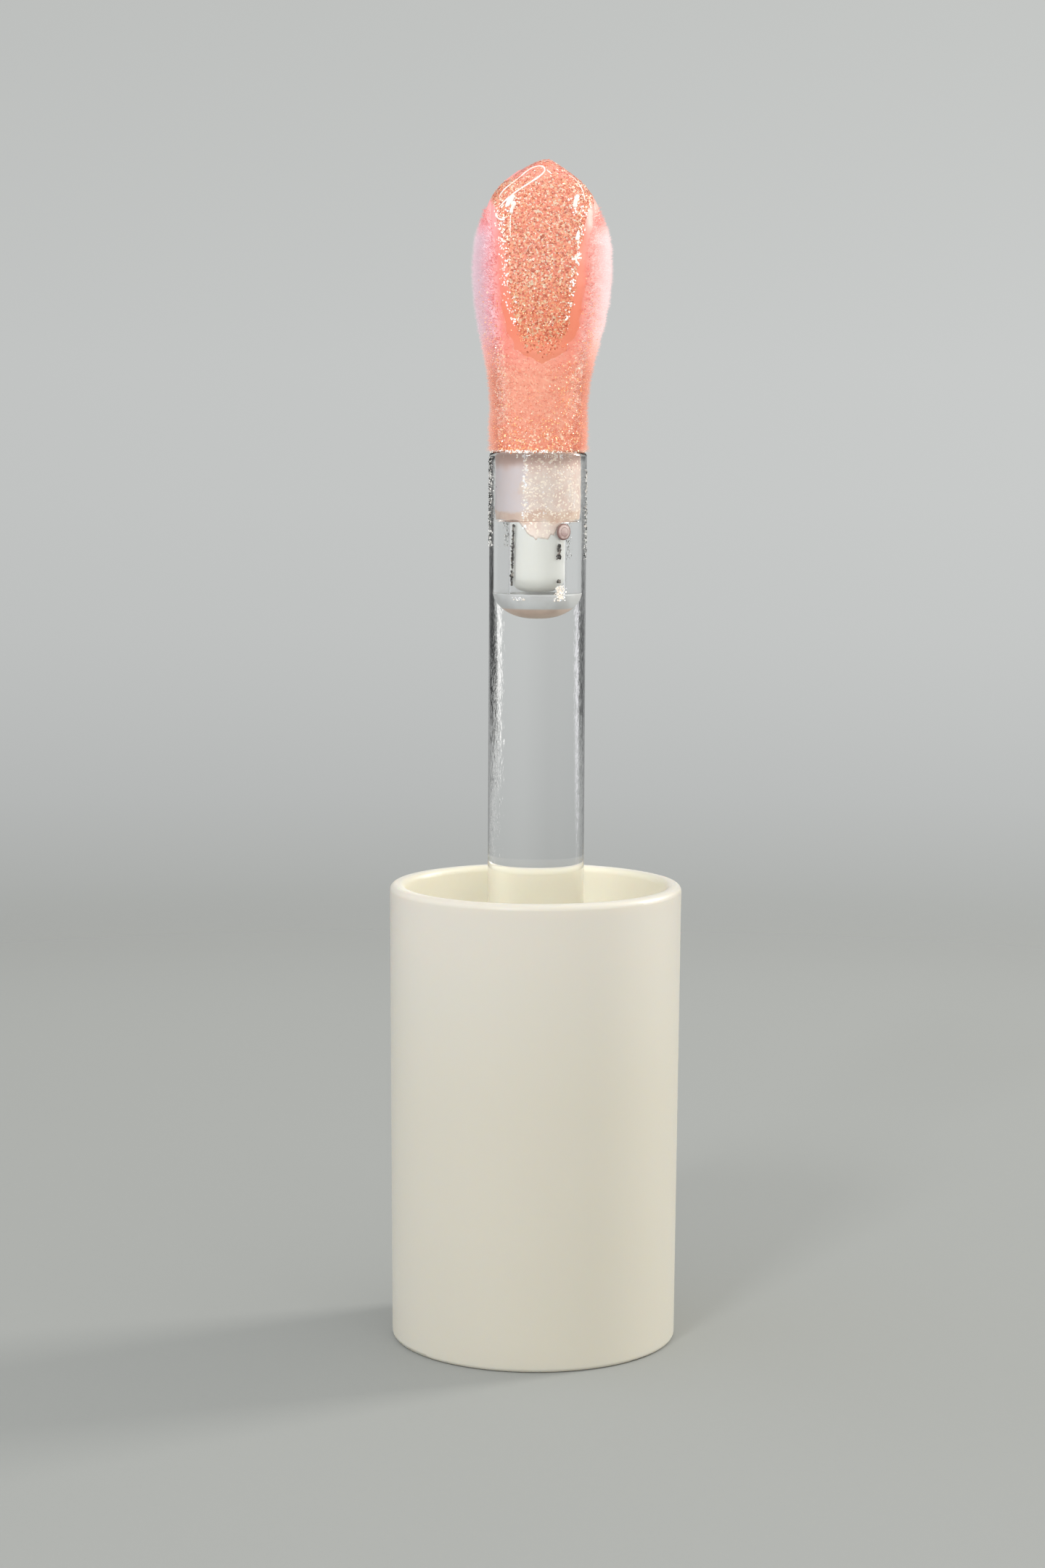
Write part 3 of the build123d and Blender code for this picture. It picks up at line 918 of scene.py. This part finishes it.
def build_wet_flock():
    """The flock as one skin over neck and paddle, matted by gloss, in from where its fibres end."""
    piece = head_copy("wet_flock", FLOCK_VOXEL)
    points, normals = points_of(piece)
    outline = points.copy()
    store(piece, "glitter", tag_wetness(piece, points, outline))
    tufts = noise_at(points, 0.42)
    rests = (normals[:, 2] < -0.5) & (points[:, 2] < WAND_TOP + 0.4)
    side = np.abs(sideways(points, outline))
    fringe = smoothstep(0.6, 0.9, side) * up_from_rod(1.0, 3.5, points[:, 2])
    fringe *= 1 - up_to_tip(5.8, 2.0, points[:, 2])
    store(piece, "open", smoothstep(0.3, 0.9, -gloss_inside(points)))
    store(piece, "fringe", fringe)
    inset = FLOCK_INSET + (FRINGE_INSET - FLOCK_INSET) * fringe
    shoulder = smoothstep(0.6, 0.9, side) * up_to_tip(4.0, 2.6, points[:, 2])
    inset = inset - 0.1 * shoulder
    depth = np.where(rests, 0.0, inset - 0.04 * tufts)
    move_points(piece, points - normals * depth[:, None])
    finish_with(piece, soaked_flock(), "flock")
    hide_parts("neck_flock", "paddle_flock", "flex_neck", "paddle_core")
    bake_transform(piece)
    return piece, outline


def surface_samples(piece, count):
    """Random points on a piece, spread evenly over its area, with their normals."""
    points, normals = points_of(piece)
    piece.data.calc_loop_triangles()
    corners = np.array([t.vertices[:] for t in piece.data.loop_triangles])
    a, b, c = points[corners[:, 0]], points[corners[:, 1]], points[corners[:, 2]]
    area = np.linalg.norm(np.cross(b - a, c - a), axis=1)
    chosen = random.choice(len(corners), count, p=area / area.sum())
    u, v = random.random(count), random.random(count)
    swap = u + v > 1
    u, v = np.where(swap, 1 - u, u), np.where(swap, 1 - v, v)
    place = a[chosen] + u[:, None] * (b - a)[chosen] + v[:, None] * (c - a)[chosen]
    facing = normals[corners[chosen]].mean(axis=1)
    return place, unit(facing)


def any_across(directions):
    """A unit vector across each direction, at a random turn about it."""
    return unit(np.cross(directions, random.normal(size=directions.shape)))


def build_fibres(base, outline):
    """Short upright fibres, where the gloss hasn't matted them: along both sides and round the neck."""
    roots, normals = surface_samples(base, FIBRE_SAMPLES)
    side = np.abs(sideways(roots, outline))
    covered = smoothstep(-0.6, -0.1, gloss_inside(roots))
    neck = neck_part(roots[:, 2])
    bare = smoothstep(0.58, 0.9, side) * (1 - 0.5 * neck) + 0.1 * neck
    fading = 1 - up_to_tip(5.8, 2.2, roots[:, 2])
    bare *= fading
    keep = random.random(len(roots)) < np.clip(bare, 0, 1) * (1 - covered)
    keep &= normals[:, 2] > -0.5
    roots, normals, side, fading = (part[keep][:FIBRES_AT_MOST] for part in (roots, normals, side, fading))
    count = len(roots)
    lean = random.normal(size=(count, 3)) * 0.22 + np.array([0, 0, 0.3])
    along = unit(normals + lean)
    clump = 0.5 + 0.5 * noise_at(roots, 0.45, 11.0)
    length = (0.16 + 0.16 * clump + 0.28 * smoothstep(0.75, 1.0, side)) * random.uniform(0.7, 1.2, count)
    length *= 0.45 + 0.55 * fading
    first = any_across(along)
    second = np.cross(along, first)
    vertices = np.empty((count, 4, 3))
    for k in range(3):
        turn = 2 * math.pi * k / 3
        corner = math.cos(turn) * first + math.sin(turn) * second
        vertices[:, k] = roots - FIBRE_ROOT * along + FIBRE_R * corner
    vertices[:, 3] = roots + along * length[:, None]
    start = 4 * np.arange(count)[:, None, None]
    faces = start + np.array([[0, 1, 3], [1, 2, 3], [2, 0, 3], [0, 2, 1]])
    piece = mesh_object("flock_fibres", vertices.reshape(-1, 3), faces.reshape(-1, 3), smooth=False)
    tag_wetness(piece, np.repeat(roots, 4, axis=0), outline)
    finish_with(piece, pale_fibre(), "flock")
    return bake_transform(piece)


def cut_below(piece, z):
    """Takes away everything below a height, and closes the piece with a flat face."""
    shape = bmesh.new()
    shape.from_mesh(piece.data)
    everything = shape.verts[:] + shape.edges[:] + shape.faces[:]
    plane = {"plane_co": (0, 0, z * MM), "plane_no": (0, 0, 1)}
    bmesh.ops.bisect_plane(shape, geom=everything, clear_inner=True, **plane)
    bmesh.ops.holes_fill(shape, edges=[edge for edge in shape.edges if edge.is_boundary])
    shape.to_mesh(piece.data)
    shape.free()


def build_gloss(outline):
    """The thick film of gloss: nearly flat on the broad face, thin at its edges, and drawn up to a peak."""
    piece = head_copy("gloss_coat", GLOSS_VOXEL)
    cut_below(piece, FLEX_Z + 0.2)
    points, normals = points_of(piece)
    tag_wetness(piece, points, outline)
    inside = gloss_inside(points)
    z = points[:, 2]
    across = points[:, 0] - GLOSS_CENTRE_X
    tip = up_to_tip(4.0, 1.2, z)
    crown = np.minimum(0.045 * across ** 2, 0.2) * (1 - tip)
    broad = smoothstep(0.35, 0.9, np.abs(normals[:, 1]))
    low_end = smoothstep(GLOSS_BOTTOM, GLOSS_BOTTOM + 4, z)
    offset = -0.08 + (crown + 0.05 + 0.03 * noise_at(points, 1.4, 5.0)) * broad * (0.3 + 0.7 * low_end)
    tongue = 1 - smoothstep(GLOSS_BOTTOM + 1.5, GLOSS_BOTTOM + 6, z)
    rise = smoothstep(-1.15 - 0.75 * tongue, 0.5 + 0.6 * tongue, inside)
    height = GLOSS_HIDDEN + (offset - GLOSS_HIDDEN) * rise
    moved = points + normals * height[:, None]
    peak = np.exp(-(((points[:, 0] - 0.55) / 0.9) ** 2)) - 0.4 * np.exp(-(((points[:, 0] + 1.9) / 0.8) ** 2))
    moved[:, 2] += 0.27 * peak * up_to_tip(1.6, 0.2, z)
    move_points(piece, moved)
    dense = smoothstep(-0.05, 0.45, inside) * smoothstep(GLOSS_BOTTOM - 0.2, GLOSS_BOTTOM + 2.6, z)
    dense *= 1 - 0.65 * up_to_tip(1.7, 0.7, z)
    store(piece, "glitter", dense)
    store(piece, "skin", smoothstep(0.05, 0.6, inside) * (0.3 + 0.7 * low_end))
    finish_with(piece, glitter_gloss(), "gloss")
    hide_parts("gloss_film")
    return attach(piece, "applicator_head")


# Raised beads of gel, coloured near white as painted highlights where the lamps' reflections fall: (across,
# height) paths over the front face, each with its radius.
HIGHLIGHT_BEADS = [
    (
        [(-2.7, 77.9), (-2.45, 78.4), (-1.5, 79.1), (-0.75, 79.8), (-0.1, 80.05), (0.3, 79.95), (0.35, 79.6)],
        0.06,
    ),
    ([(0.35, 79.7), (0.1, 79.35), (-0.8, 78.75), (-1.5, 78.3), (-2.15, 77.8), (-2.7, 77.2)], 0.07),
    ([(0.45, 79.75), (0.8, 79.45)], 0.05),
    ([(1.9, 79.45), (2.45, 79.1), (2.9, 78.4), (3.0, 77.7)], 0.05),
    ([(-1.75, 78.05), (-2.0, 77.6), (-2.2, 77.25)], 0.2),
    ([(-1.6, 77.5), (-1.85, 77.1), (-1.9, 76.8)], 0.12),
    ([(2.55, 78.05), (2.4, 77.7), (2.3, 77.2)], 0.15),
    ([(-2.95, 76.7), (-2.7, 76.4), (-2.3, 76.35)], 0.07),
    ([(-2.6, 75.2), (-2.4, 74.9), (-2.2, 74.9)], 0.06),
    ([(2.6, 75.6), (2.48, 75.0)], 0.12),
    ([(2.8, 74.15), (2.5, 73.95), (2.4, 73.7), (2.65, 73.4)], 0.07),
]


def rounded_path(path, rounds=3):
    """The same path with its corners cut, again and again, until it is a smooth curve."""
    points = np.array(path, float)
    for _ in range(rounds):
        near = 0.75 * points[:-1] + 0.25 * points[1:]
        far = 0.25 * points[:-1] + 0.75 * points[1:]
        cut = np.stack([near, far], axis=1).reshape(-1, 2)
        points = np.concatenate([points[:1], cut, points[-1:]])
    return points


def front_surface(piece):
    """A function that finds where the front of a piece is, in millimetres, from a place across and up it."""
    tree = bvhtree.BVHTree.FromPolygons(
        [v.co for v in piece.data.vertices],
        [tuple(face.vertices) for face in piece.data.polygons],
    )

    def find(x, z):
        place, normal, _, _ = tree.ray_cast(Vector((x * MM, -0.02, z * MM)), Vector((0, 1, 0)))
        if place is None:
            return None
        return np.array(place) / MM, np.array(normal)
    return find


def build_highlight_beads(gloss):
    """Beads of clear gel along the folds of the film, each a tapered tube half sunk in it, painted near white
    as a highlight.
    """
    find = front_surface(gloss)
    ring = 10
    vertices, faces = [], []
    for path, radius in HIGHLIGHT_BEADS:
        found = [find(x, z) for x, z in rounded_path(path)]
        found = [hit for hit in found if hit is not None]
        centres = np.array([hit[0] for hit in found])
        outward = np.array([hit[1] for hit in found])
        across = unit(np.cross(unit(np.gradient(centres, axis=0)), outward))
        rings = []
        count = len(centres)
        for i in range(count):
            t = i / (count - 1)
            taper = math.sqrt(max(0.02, 1 - (2 * t - 1) ** 4))
            taper *= 1 + 0.45 * noise.noise(Vector((centres[i] * 2.4).tolist()))
            rings.append(range(len(vertices), len(vertices) + ring))
            for k in range(ring):
                turn = 2 * math.pi * k / ring
                spread = math.cos(turn) * across[i] + 0.55 * math.sin(turn) * outward[i]
                vertices.append(centres[i] + radius * taper * spread)
        faces += joined(rings) + [rings[0][::-1], rings[-1]]
    piece = mesh_object("highlight_beads", vertices, faces)
    face_outwards(piece)
    made, n = material("gel_highlight")
    # Painted highlight: near white, where the lamps' reflections fall on the gel.
    colour = n.clouds(n.noise(1800.0), 0.3, 0.7, (255, 250, 246), (255, 232, 222))
    n.shade(n.principled(colour, 0.2, {"Coat Weight": 1.0, "Coat Roughness": 0.04}))
    finish_with(piece, made, "gloss")
    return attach(piece, "applicator_head")


def flake_piece(name, metal, places, normals, sizes, tilt):
    """Thin six-sided flakes, each a closed double pyramid, lying near the surface at random tilts."""
    count = len(places)
    up = unit(normals + tilt * random.normal(size=(count, 3)))
    first = any_across(up)
    second = np.cross(up, first)
    vertices = np.empty((count, 8, 3))
    for k in range(6):
        turn = math.pi * k / 3
        vertices[:, k] = places + sizes[:, None] * (math.cos(turn) * first + math.sin(turn) * second)
    vertices[:, 6] = places + up * FLAKE_HALF_THICKNESS
    vertices[:, 7] = places - up * FLAKE_HALF_THICKNESS
    fan = [[k, (k + 1) % 6, 6] for k in range(6)] + [[(k + 1) % 6, k, 7] for k in range(6)]
    faces = 8 * np.arange(count)[:, None, None] + np.array(fan)
    piece = mesh_object(name, vertices.reshape(-1, 3), faces.reshape(-1, 3), smooth=False)
    return finish_with(piece, metal, "gloss")


def build_film_glitter(gloss, metal):
    """Single flakes on the film, thick over its middle and thin at its tip and its lower end."""
    places, normals = surface_samples(gloss, FILM_SAMPLES)
    z = places[:, 2]
    inside = gloss_inside(places)
    dense = smoothstep(0.0, 0.4, inside) * (1 - 0.75 * up_to_tip(1.6, 0.8, z))
    dense *= 0.12 + 0.88 * smoothstep(GLOSS_BOTTOM, GLOSS_BOTTOM + 2.8, z)
    keep = random.random(len(places)) < 0.8 * dense
    places, normals = places[keep], normals[keep]
    sizes = random.uniform(0.02, 0.055, len(places))
    piece = flake_piece("film_glitter", metal, places + 0.004 * normals, normals, sizes, 0.5)
    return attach(piece, "applicator_head")


def build_edge_sparkles(gloss, pearl):
    """Bright flakes strung along the crests of the film's two side edges, and a few near its top: painted
    highlights, set where the film's edges catch the lamps.
    """
    find = front_surface(gloss)
    # Each run goes from one (across, height) to another, with a count of flakes and their spread.
    runs = [
        ((-2.75, 77.3), (-2.45, 75.2), 56, 0.2),
        ((-2.5, 75.2), (-2.2, 71.9), 74, 0.14),
        ((-2.1, 71.8), (-1.6, 69.4), 34, 0.2),
        ((3.2, 77.6), (2.75, 75.6), 26, 0.22),
        ((2.7, 75.9), (2.45, 73.6), 46, 0.15),
        ((2.4, 73.2), (1.9, 69.6), 44, 0.16),
        ((-2.2, 77.3), (-1.4, 77.7), 36, 0.16),
        ((2.3, 77.9), (2.4, 76.9), 24, 0.14),
    ]
    places, normals = [], []
    for start, end, count, spread in runs:
        for t in random.random(count):
            x = start[0] + t * (end[0] - start[0]) + spread * random.normal()
            z = start[1] + t * (end[1] - start[1]) + spread * random.normal()
            hit = find(x, z)
            if hit is not None:
                places.append(hit[0])
                normals.append(hit[1])
    places, normals = np.array(places), np.array(normals)
    # Painted highlight: bright pearl flakes along the edge crests.
    sizes = random.uniform(0.03, 0.085, len(places))
    piece = flake_piece("edge_sparkles", pearl, places + 0.012 * normals, normals, sizes, 0.25)
    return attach(piece, "applicator_head")


def build_flock_glitter(base, outline, metal):
    """Stray flakes in the flock: thick round the neck, thin up the sides of the paddle."""
    places, normals = surface_samples(base, FLOCK_SAMPLES)
    z = places[:, 2]
    across = sideways(places, outline)
    side = np.abs(across)
    low_down = 1 - up_from_rod(1.0, 3.0, z)
    edges = smoothstep(0.5, 0.95, side) * (1 - up_from_rod(7, 12, z))
    right = smoothstep(0.1, 0.6, across) * (1 - up_from_rod(5, 8, z))
    chance = 0.05 + 0.8 * np.maximum(low_down, np.maximum(edges, 0.6 * right))
    chance *= 1 - 0.9 * up_from_rod(10, 13, z)
    keep = (random.random(len(places)) < chance) & (gloss_inside(places) < 0.1)
    places, normals = places[keep], normals[keep]
    sizes = random.uniform(0.03, 0.06, len(places)) * (1 + 0.25 * low_down[keep])
    lift = random.uniform(0.02, 0.2, len(places))[:, None]
    piece = flake_piece("flock_glitter", metal, places + lift * normals, normals, sizes, 0.6)
    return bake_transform(piece)


def ring_places(turns, heights, reach):
    """Places on a cylinder about the wand's axis, with their outward normals."""
    outward = np.stack([np.sin(turns), -np.cos(turns), 0 * turns], axis=1)
    places = outward * np.asarray(reach)[:, None]
    places[:, 2] = heights
    return places, outward


def build_socket_glitter(pearl):
    """Flakes in the gloss round the stem: one bright column left of centre, and a scatter to its right."""
    # The lip flakes ring the top of the bore, partly a painted highlight for the white line at the rod's top.
    column, scatter, lip = 110, 420, 150
    turns = np.radians(np.concatenate([
        random.normal(-23, 2.4, column),
        random.uniform(-22, 85, scatter),
        random.uniform(-75, 80, lip),
    ]))
    heights = np.concatenate([
        WAND_TOP - 0.3 - 4.9 * random.random(column),
        WAND_TOP - 0.3 - 4.2 * random.random(scatter),
        WAND_TOP - 0.12 - 0.3 * random.random(lip) ** 2,
    ])
    reach = STEM_R + 0.07 + 0.02 * random.random(len(turns))
    places, normals = ring_places(turns, heights, reach)
    sizes = np.concatenate([
        random.uniform(0.03, 0.075, column),
        random.uniform(0.014, 0.04, scatter),
        random.uniform(0.02, 0.05, lip),
    ])
    piece = flake_piece("socket_glitter", pearl, places, normals, sizes, 0.3)
    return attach(piece, "cap_and_wand")


def build_smears(pearl, specks):
    """Gloss wiped onto the outside of the rod near its free end, and a line of flakes on its rim, partly a
    painted highlight for the bright line along the rod's top.
    """
    left, right, rim, clump = 700, 300, 90, 90
    turns = np.radians(np.concatenate([random.normal(-79, 6, left), random.normal(80, 5, right)]))
    heights = np.concatenate([
        WAND_TOP - 0.4 - 6.0 * random.random(left) ** 1.2,
        WAND_TOP - 1.2 - 6.0 * random.random(right),
    ])
    places, normals = ring_places(turns, heights, np.full(left + right, WAND_R + 0.004))
    normals = 0.35 * normals + 0.65 * random.normal(size=normals.shape)
    sizes = random.uniform(0.03, 0.08, len(turns))
    wiped = flake_piece("rod_smears", specks, places, normals, sizes, 0.5)
    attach(wiped, "cap_and_wand")

    # Partly painted highlight: bright flakes round the rod's top, where its top face shows a white line.
    turns = np.radians(np.concatenate([random.uniform(-180, 180, rim), random.normal(-20, 18, clump)]))
    heights = WAND_TOP + random.uniform(-0.06, 0.12, len(turns))
    places, normals = ring_places(turns, heights, random.uniform(3.2, 3.3, len(turns)))
    sizes = random.uniform(0.025, 0.065, len(turns))
    line = flake_piece("rim_glitter_and_highlight", pearl, places, normals, sizes, 0.5)
    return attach(line, "cap_and_wand")


# Each run is a turn and its spread in degrees, the heights it starts and ends at, and a count of flecks.
# The dark runs are dark specks in the bore's wall; the two runs at 38 degrees are painted shadow, dark dashes
# where bubbles in the gap cast their shadows.
DARK_RUNS = [(-45, 1.2, 56.2, 52.1, 230), (38, 1.8, 54.9, 53.9, 130), (38, 1.5, 52.5, 52.3, 26)]
PALE_RUNS = [(40, 4.6, 52.1, 51.1, 170), (-30, 8.0, 51.3, 51.1, 16)]


def build_bore_flecks(name, metal, runs):
    """Specks set in the bore's wall. Those on the left lean outwards as they go down."""
    turns = np.concatenate([random.normal(turn, wide, count) for turn, wide, _, _, count in runs])
    turns = np.radians(turns)
    heights = np.concatenate([random.uniform(end, start, count) for _, _, start, end, count in runs])
    turns += np.radians(0.9) * (heights - 54.0) * (turns < 0)
    reach = BORE_R + 0.03 + 0.02 * random.random(len(turns))
    places, normals = ring_places(turns, heights, reach)
    sizes = random.uniform(0.03, 0.07, len(turns))
    piece = flake_piece(name, metal, places, normals, sizes, 0.3)
    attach(piece, "cap_and_wand")


wet_flock, head_outline = build_wet_flock()
build_fibres(wet_flock, head_outline)
gloss_coat = build_gloss(head_outline)
build_highlight_beads(gloss_coat)
gold_mica = flake_metal(
    "gold_flake", 0.3, 0.17,
    (0.0, 250, 170, 120), (0.35, 255, 205, 150), (0.6, 252, 170, 140),
    (0.85, 255, 232, 205), (1.0, 255, 250, 240),
)
pearl_mica = flake_metal(
    "pearl_flake", 0.2, 0.16,
    (0.0, 255, 240, 222), (0.5, 255, 250, 242), (1.0, 248, 250, 255),
)
smeared = flake_metal(
    "smear_speck", 0.1, 0.0,
    (0.0, 40, 40, 38), (0.4, 90, 92, 90), (0.5, 205, 208, 204), (1.0, 255, 252, 248),
)
# Dark specks, partly painted shadow of bubbles in the bore's gap.
dark_speck_and_shadow = flake_metal(
    "dark_speck_and_painted_shadow", 0.1, 0.0,
    (0.0, 36, 34, 32), (0.7, 70, 66, 62), (1.0, 170, 160, 150),
)
build_film_glitter(gloss_coat, gold_mica)
build_edge_sparkles(gloss_coat, pearl_mica)
build_flock_glitter(wet_flock, head_outline, gold_mica)
build_socket_glitter(pearl_mica)
build_smears(pearl_mica, smeared)
build_bore_flecks("bore_flecks", dark_speck_and_shadow, DARK_RUNS)
build_bore_flecks("bore_smear", pearl_mica, PALE_RUNS)
